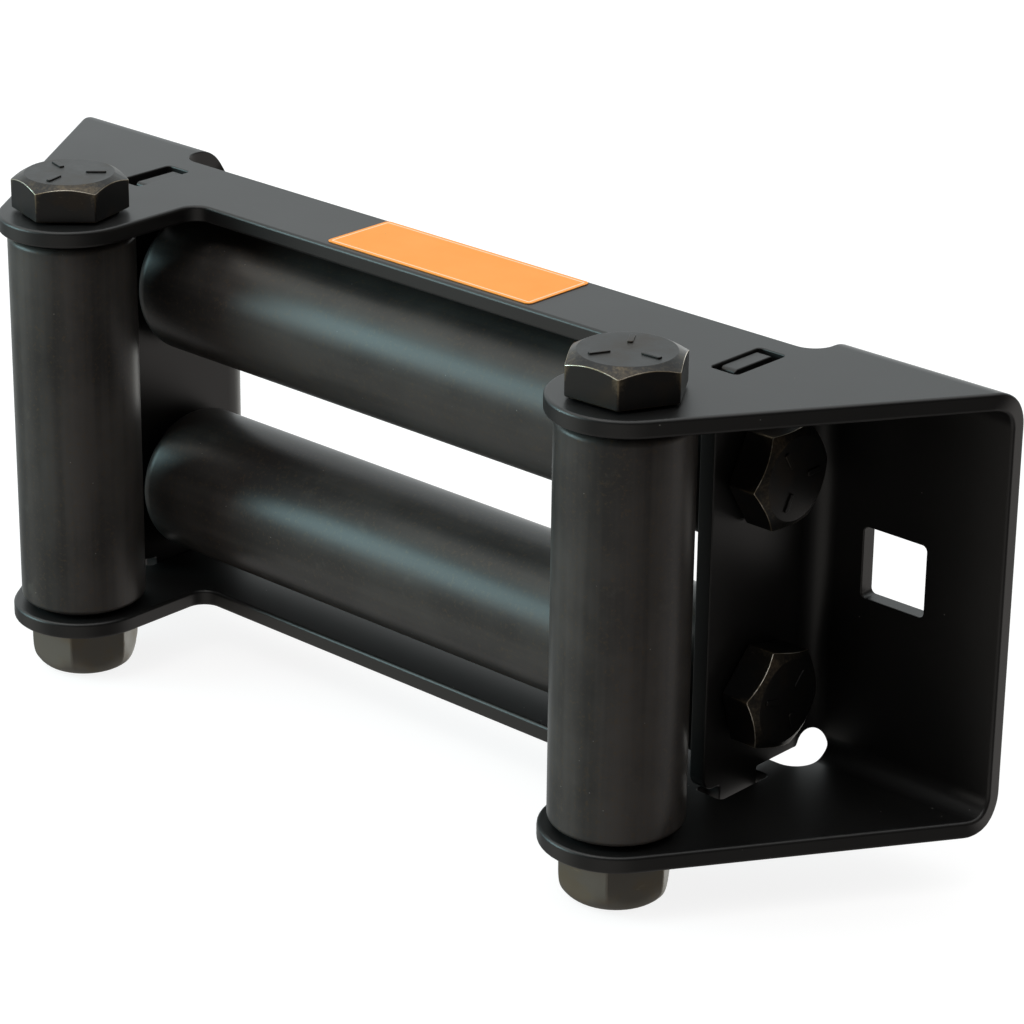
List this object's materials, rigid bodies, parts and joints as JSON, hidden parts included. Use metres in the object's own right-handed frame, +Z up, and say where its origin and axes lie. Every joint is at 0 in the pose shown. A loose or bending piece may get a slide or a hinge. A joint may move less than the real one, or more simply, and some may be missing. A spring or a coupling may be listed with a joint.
{
  "type": "roller fairlead",
  "caption": "Winch roller fairlead: a folded steel bracket with square mounting holes carries upright and level rollers that spin on hex bolts and guide a rope through its window.",
  "frame": {"origin": "midway between the centres of the two mounting holes, on the mounting face", "axes": "+X along the bracket, +Y into the surface that it is bolted to, +Z up"},
  "size_m": [0.3176, 0.0871, 0.1388],
  "materials": {
    "bracket_coat": "satin black powder coat, a little worn on the edges",
    "roller_coat": "satin black coat with a fine drawn grain and light scuffs",
    "bush_plastic": "black nylon, smooth",
    "fastener_steel": "black oxide, oiled, with bright worn edges",
    "ring_nylon": "white nylon, smooth",
    "label_vinyl": "orange vinyl with a pale border, blank"
  },
  "bodies": {
    "frame": {"bracket": "bracket_coat", "left_vertical_bolt": "fastener_steel", "right_vertical_bolt": "fastener_steel", "upper_horizontal_bolt": "fastener_steel", "lower_horizontal_bolt": "fastener_steel", "left_vertical_nut": "fastener_steel", "right_vertical_nut": "fastener_steel", "upper_horizontal_nut": "fastener_steel", "lower_horizontal_nut": "fastener_steel", "left_vertical_nut_ring": "ring_nylon", "right_vertical_nut_ring": "ring_nylon", "upper_horizontal_nut_ring": "ring_nylon", "lower_horizontal_nut_ring": "ring_nylon", "label": "label_vinyl"},
    "left_vertical_roller_body": {"left_vertical_roller": "roller_coat", "left_vertical_upper_bush": "bush_plastic", "left_vertical_lower_bush": "bush_plastic"},
    "right_vertical_roller_body": {"right_vertical_roller": "roller_coat", "right_vertical_upper_bush": "bush_plastic", "right_vertical_lower_bush": "bush_plastic"},
    "upper_horizontal_roller_body": {"upper_horizontal_roller": "roller_coat", "upper_horizontal_left_bush": "bush_plastic", "upper_horizontal_right_bush": "bush_plastic"},
    "lower_horizontal_roller_body": {"lower_horizontal_roller": "roller_coat", "lower_horizontal_left_bush": "bush_plastic", "lower_horizontal_right_bush": "bush_plastic"}
  },
  "joints": [
    {"name": "left_vertical_spin", "type": "hinge", "parent": "frame", "child": "left_vertical_roller_body", "pos_m": [-0.0958, -0.0681, -0.0019], "axis": [0, 0, 1], "continuous": true},
    {"name": "right_vertical_spin", "type": "hinge", "parent": "frame", "child": "right_vertical_roller_body", "pos_m": [0.0958, -0.0681, -0.0019], "axis": [0, 0, 1], "continuous": true},
    {"name": "upper_horizontal_spin", "type": "hinge", "parent": "frame", "child": "upper_horizontal_roller_body", "pos_m": [0, -0.0267, 0.02705], "axis": [1, 0, 0], "continuous": true},
    {"name": "lower_horizontal_spin", "type": "hinge", "parent": "frame", "child": "lower_horizontal_roller_body", "pos_m": [0, -0.0267, -0.03085], "axis": [1, 0, 0], "continuous": true}
  ]
}
